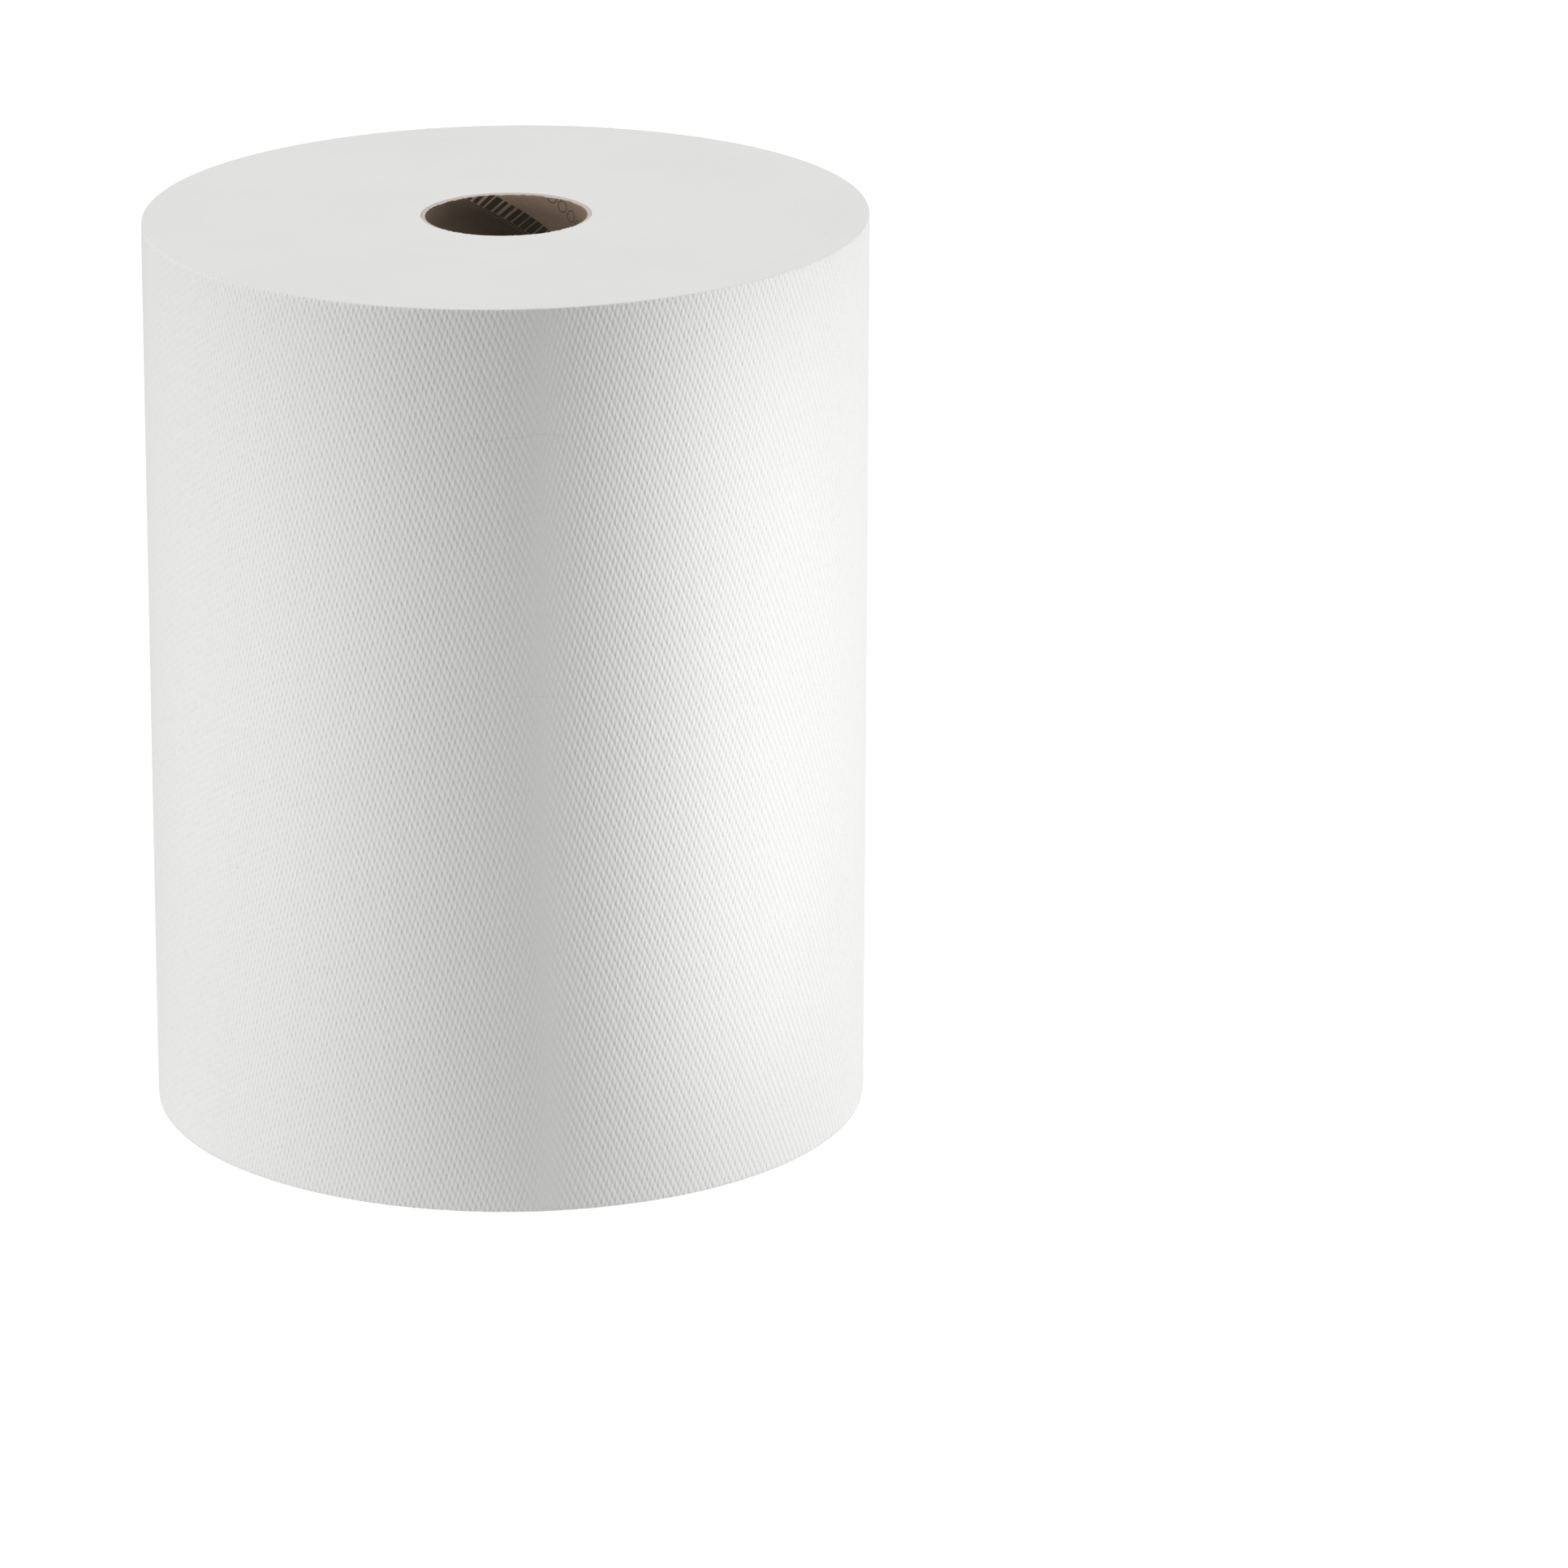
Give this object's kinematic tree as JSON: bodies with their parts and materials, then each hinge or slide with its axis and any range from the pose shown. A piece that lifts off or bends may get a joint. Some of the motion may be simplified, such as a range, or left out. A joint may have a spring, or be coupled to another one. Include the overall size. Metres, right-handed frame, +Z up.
{
  "type": "paper towel roll",
  "caption": "Full roll of wide, embossed white paper towelling wound hard on a plain cardboard core, standing on its end.",
  "frame": {"origin": "centre of the lower end, on the surface that the roll stands on", "axes": "+Z up along the core; +Y towards the back, where the loose end of the web lies against the roll"},
  "size_m": [0.1998, 0.2, 0.2544],
  "materials": {
    "paper": "soft, embossed, matt",
    "core": "raw board, matt"
  },
  "bodies": {
    "root": {"paper_roll": "paper", "core": "core"}
  },
  "joints": []
}
